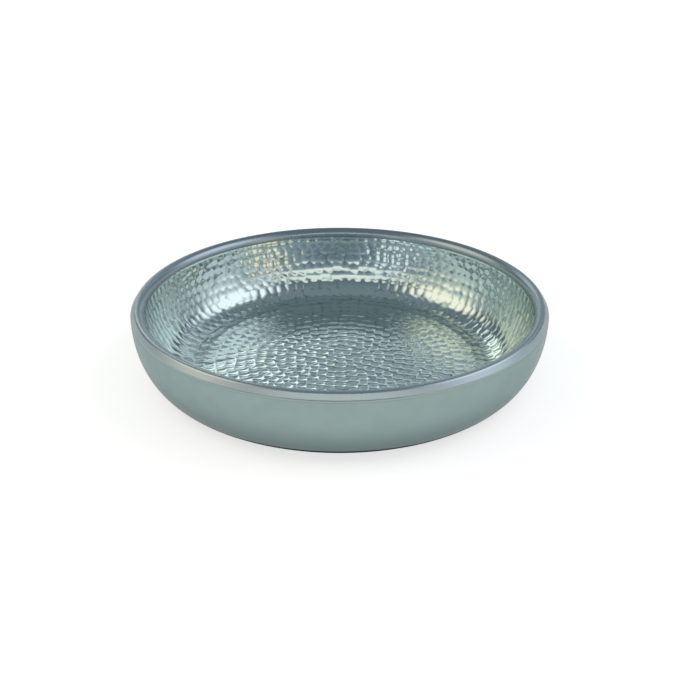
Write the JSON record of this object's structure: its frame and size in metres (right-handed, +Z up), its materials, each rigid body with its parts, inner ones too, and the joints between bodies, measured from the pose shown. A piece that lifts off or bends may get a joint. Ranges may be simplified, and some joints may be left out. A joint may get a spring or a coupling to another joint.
{
  "type": "seafood tray",
  "caption": "Round shallow double-walled steel serving tray with a hammered inside, a smooth satin outside and a thick, rounded, polished rim.",
  "frame": {"origin": "on the table, under the middle of the tray", "axes": "+Z up along the tray's axis of symmetry; X and Y are level and free to choose"},
  "size_m": [0.356, 0.356, 0.066],
  "materials": {
    "satin_steel": "satin",
    "hammered_steel": "hammered and polished",
    "polished_steel": "polished",
    "silicone": "matt"
  },
  "bodies": {
    "root": {"outer_shell": "satin_steel", "inner_bowl": "hammered_steel", "rim_band": "polished_steel", "rim_seal": "silicone", "vent_plug": "silicone"}
  },
  "joints": []
}
